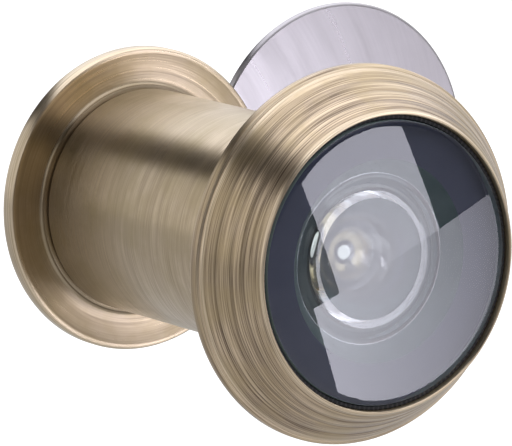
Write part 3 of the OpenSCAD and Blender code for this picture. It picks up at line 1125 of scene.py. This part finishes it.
make_bezel()
make_barrel()
make_lens_gasket()
make_front_lens()
make_light_baffle()
make_lens_cell()
make_inner_lenses()
make_lens_spacer()
make_cell_retaining_ring()
make_eyepiece()
make_threaded_tube()
make_flange()
make_pivot()
make_cover()


# ---------------------------------------------------------------- camera, light and floor
def towards(azimuth, elevation):
    """The direction from the object to something seen at this azimuth and elevation."""
    a, e = math.radians(azimuth), math.radians(elevation)
    return Vector((math.sin(a) * math.cos(e), -math.cos(a) * math.cos(e), math.sin(e)))


def make_camera():
    """A long lens, aimed near the middle of the axis and a little to the left and up."""
    azimuth, elevation = -34.2, 10.2
    aim_y, aim_left, aim_up = -3.94, 0.669, 0.859
    distance = 0.65
    back = towards(azimuth, elevation)
    right = Vector((math.cos(math.radians(azimuth)), math.sin(math.radians(azimuth)), 0))
    up = back.cross(right)
    target = Vector((0, aim_y, 0)) * MM - right * aim_left * MM + up * aim_up * MM
    data = bpy.data.cameras.new("camera")
    data.sensor_width = 36
    data.lens = 405.9
    data.clip_start = 0.01
    data.clip_end = 50
    camera = bpy.data.objects.new("camera", data)
    camera.location = target + back * distance
    camera.rotation_mode = "QUATERNION"
    camera.rotation_quaternion = (-back).to_track_quat("-Z", "Y")
    bpy.context.scene.collection.objects.link(camera)
    bpy.context.scene.camera = camera


PANEL_LIGHT = (0.90, 0.89, 1.0, 1)
PALE_WALLS = (0.95, 0.95, 0.96, 1)
DARK_ROOM = (0.08, 0.08, 0.10, 1)
OVERHEAD_LIGHT = (1.85, 1.9, 2.05, 1)
DARK_GAP = (0.03, 0.028, 0.028, 1)
GAP_DIRECTION = (0.688, 0.0, 0.725)  # across the gap, as seen along the viewer's axis


def lit_panel(name, place, side, up, size, near_end, far_end):
    """A softbox front whose light changes evenly along side. Reflections see it, and the
    camera doesn't."""
    bpy.ops.object.select_all(action="DESELECT")
    bpy.ops.mesh.primitive_plane_add(size=1)
    panel = bpy.context.active_object
    panel.name = name
    facing = Matrix((side, up, side.cross(up))).transposed().to_4x4()
    panel.matrix_world = Matrix.Translation(place) @ facing
    panel.scale = (size[0], size[1], 1)
    material, b = new_material(name)
    x = b.node("ShaderNodeSeparateXYZ", None, _0=b.place()).outputs["X"]
    strength = b.remap(x, -0.5, 0.5, near_end, far_end)
    light = b.node("ShaderNodeEmission", None, Color=PANEL_LIGHT, Strength=strength)
    finish_material(b, light)
    panel.data.materials.append(material)
    panel.visible_camera = False


def make_glass_panels():
    """Two softboxes in front, to the right and low, that the flat glass mirrors: they
    stand in one plane, tilted a little, one above the other."""
    centre = Vector((0.1986, -0.3091, -0.0636))
    across = Vector((-0.816, -0.578, 0.0))
    rise = Vector((0.106, -0.149, 0.983))
    tilt = math.radians(25.5)
    long_way = across * math.sin(tilt) + rise * math.cos(tilt)
    short_way = rise * math.sin(tilt) - across * math.cos(tilt)
    for name, along, beside, width, height, left, right in (
        ("upper_panel", 39.6, 1.8, 49.5, 81, 7.0, 7.0),
        ("lower_panel", -35.4, 12.2, 95.6, 69.3, 8.8, 2.6),
    ):
        place = centre + long_way * along * MM + short_way * beside * MM
        lit_panel(name, place, short_way, long_way, (width * MM, height * MM), left, right)


def make_world():
    """A wide soft light overhead and pale walls, parted by a long dark gap that widens
    towards the front, where the room is dark. The camera sees plain white."""
    world = bpy.data.worlds.new("studio")
    world.use_nodes = True
    world.node_tree.nodes.clear()
    b = Builder(world.node_tree)
    way = b.node("ShaderNodeTexCoord").outputs["Generated"]
    y, z = b.node("ShaderNodeSeparateXYZ", None, _0=way).outputs[1:3]
    dot = {"operation": "DOT_PRODUCT"}
    side = b.node("ShaderNodeVectorMath", dot, _0=way, _1=GAP_DIRECTION).outputs["Value"]
    middle = b.remap(y, -0.5, 0.8, 0.15, 0.25)
    half_width = b.remap(y, -0.6, 0.8, 0.21, 0.135)
    from_gap = b.math("DIVIDE", b.math("SUBTRACT", side, middle), half_width)
    in_gap = b.remap(b.math("ABSOLUTE", from_gap), 0.8, 1.2, 1.0, 0.0)
    upwards = b.remap(z, -0.1, 0.15)
    in_gap = b.math("MULTIPLY", in_gap, upwards)
    overhead = b.math("MULTIPLY", b.remap(from_gap, 0.9, 1.3), b.remap(z, 0.25, 0.5))
    in_front = b.math("MULTIPLY", b.remap(y, -0.40, -0.75), b.remap(z, 0.35, 0.1))
    walls = b.mix(in_front, PALE_WALLS, DARK_ROOM)
    room = b.mix(overhead, walls, OVERHEAD_LIGHT)
    room = b.mix(in_gap, room, DARK_GAP)
    studio = b.node("ShaderNodeBackground", None, Color=room, Strength=1.0)
    white = b.node("ShaderNodeBackground", None, Color=(1, 1, 1, 1), Strength=1.0)
    seen = b.node("ShaderNodeLightPath").outputs["Is Camera Ray"]
    mixed = b.node("ShaderNodeMixShader", None, _0=seen, _1=studio.outputs[0], _2=white.outputs[0])
    b.node("ShaderNodeOutputWorld", None, Surface=mixed.outputs[0])
    bpy.context.scene.world = world


def make_floor(z):
    """A pale floor that the camera sees as white, and that glows less towards the front."""
    bpy.ops.object.select_all(action="DESELECT")
    bpy.ops.mesh.primitive_plane_add(size=8, location=(0, 0, z))
    floor = bpy.context.active_object
    floor.name = "floor"
    material, b = new_material("floor_white")
    seen = b.node("ShaderNodeLightPath").outputs["Is Camera Ray"]
    y = b.node("ShaderNodeSeparateXYZ", None, _0=b.place()).outputs["Y"]
    glow = b.remap(y, -0.75, -0.35, 0.03, 0.4)
    shader = b.node(
        "ShaderNodeBsdfPrincipled",
        None,
        Base_Color=(0.2, 0.2, 0.2, 1),
        Roughness=0.9,
        Specular_IOR_Level=0.0,
        Emission_Color=(1, 1, 1, 1),
        Emission_Strength=b.math("MAXIMUM", glow, seen),
    )
    finish_material(b, shader)
    floor.data.materials.append(material)


make_camera()
make_world()
make_floor(-0.16)
make_glass_panels()
bpy.context.scene.view_settings.view_transform = "Standard"
